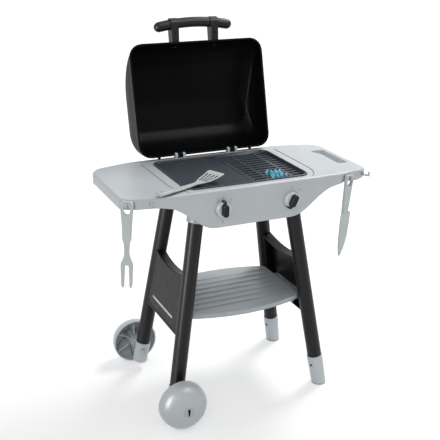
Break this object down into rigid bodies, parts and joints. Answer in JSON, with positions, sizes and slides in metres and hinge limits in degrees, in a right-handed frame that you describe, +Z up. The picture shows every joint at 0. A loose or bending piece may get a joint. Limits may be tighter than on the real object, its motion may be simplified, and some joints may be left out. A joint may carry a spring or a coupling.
{
  "type": "toy barbecue grill",
  "caption": "Toy barbecue grill on splayed legs, with a domed hinged lid, winged table top, turning knobs, rising flames, shelf, wheels and hanging tools.",
  "frame": {"origin": "on the floor, under the middle of the whole grill's footprint as it stands with the lid open", "axes": "+Z up, +Y towards the rear where the lid's hinge is, +X to the right of someone who stands in front of the knobs"},
  "size_m": [0.5286, 0.3978, 0.7486],
  "materials": {
    "table_grey": "satin light grey moulding",
    "wheel_grey": "satin light grey moulding",
    "shelf_grey": "satin mid grey moulding",
    "insert_grey": "satin dark blue-grey moulding",
    "black_plastic": "soft gloss black",
    "flame_blue": "light blue moulding",
    "tool_grey": "satin pale grey moulding",
    "natural_plastic": "undyed moulding",
    "screw_steel": "zinc plated"
  },
  "bodies": {
    "stand": {"table_top": "table_grey", "cooking_insert": "insert_grey", "flame_housing": "insert_grey", "left_hinge_pin": "screw_steel", "right_hinge_pin": "screw_steel", "left_click_spring": "natural_plastic", "right_click_spring": "natural_plastic", "front_left_leg": "black_plastic", "rear_left_leg": "black_plastic", "front_right_leg": "black_plastic", "rear_right_leg": "black_plastic", "front_left_leg_screw": "screw_steel", "rear_left_leg_screw": "screw_steel", "front_right_leg_screw": "screw_steel", "rear_right_leg_screw": "screw_steel", "front_right_foot": "wheel_grey", "rear_right_foot": "wheel_grey", "front_foot_pin": "wheel_grey", "rear_foot_pin": "wheel_grey", "front_left_axle_socket": "wheel_grey", "rear_left_axle_socket": "wheel_grey", "front_axle_pin": "wheel_grey", "rear_axle_pin": "wheel_grey", "left_side_panel": "black_plastic", "right_side_panel": "black_plastic", "front_left_panel_pin": "wheel_grey", "rear_left_panel_pin": "wheel_grey", "front_right_panel_pin": "wheel_grey", "rear_right_panel_pin": "wheel_grey", "shelf": "shelf_grey"},
    "lid": {"lid_shell": "black_plastic", "handle_bar": "black_plastic", "left_handle_post": "black_plastic", "right_handle_post": "black_plastic", "left_handle_screw": "screw_steel", "right_handle_screw": "screw_steel"},
    "left_knob": {"left_knob_dial": "table_grey", "left_knob_grip": "black_plastic", "left_click_wheel": "natural_plastic"},
    "right_knob": {"right_knob_dial": "table_grey", "right_knob_grip": "black_plastic", "right_click_wheel": "natural_plastic", "flame_cam": "natural_plastic"},
    "flames": {"flame_piece": "flame_blue"},
    "front_wheel_body": {"front_wheel": "wheel_grey"},
    "rear_wheel_body": {"rear_wheel": "wheel_grey"},
    "fork_body": {"fork": "tool_grey"},
    "knife_body": {"knife": "tool_grey"},
    "spatula_body": {"spatula": "tool_grey"}
  },
  "joints": [
    {"name": "lid_hinge", "type": "hinge", "parent": "stand", "child": "lid", "pos_m": [0.00226, 0.1012, 0.4753], "axis": [1, 0, 0], "range_deg": [0, 102]},
    {"name": "left_knob_turn", "type": "hinge", "parent": "stand", "child": "left_knob", "pos_m": [-0.06574, -0.1331, 0.4325], "axis": [0, 1, 0], "range_deg": [0, 270]},
    {"name": "right_knob_turn", "type": "hinge", "parent": "stand", "child": "right_knob", "pos_m": [0.08026, -0.1331, 0.4325], "axis": [0, 1, 0], "range_deg": [-205, 0]},
    {"name": "flame_rise", "type": "slide", "parent": "stand", "child": "flames", "axis": [0, 0, 1], "range_m": [-0.01451, 0]},
    {"name": "front_wheel_spin", "type": "hinge", "parent": "stand", "child": "front_wheel_body", "pos_m": [-0.16173, -0.1579, 0.0483], "axis": [0, 1, 0], "continuous": true},
    {"name": "rear_wheel_spin", "type": "hinge", "parent": "stand", "child": "rear_wheel_body", "pos_m": [-0.16173, 0.1187, 0.0483], "axis": [0, 1, 0], "continuous": true},
    {"name": "fork_swing", "type": "hinge", "parent": "stand", "child": "fork_body", "pos_m": [-0.24874, -0.12017, 0.458], "axis": [-0.5, -0.866, 0], "range_deg": [-35, 35]},
    {"name": "knife_swing", "type": "hinge", "parent": "stand", "child": "knife_body", "pos_m": [0.21126, -0.12889, 0.458], "axis": [0.1727, -0.985, 0], "range_deg": [-30, 30]},
    {"name": "spatula_slide", "type": "slide", "parent": "stand", "child": "spatula_body", "axis": [-0.9078, -0.4195, 0], "range_m": [0, 0.04]}
  ],
  "couplings": [
    {"joint": "flame_rise", "follows": "right_knob_turn", "m_per_rad": 0.0040526}
  ]
}
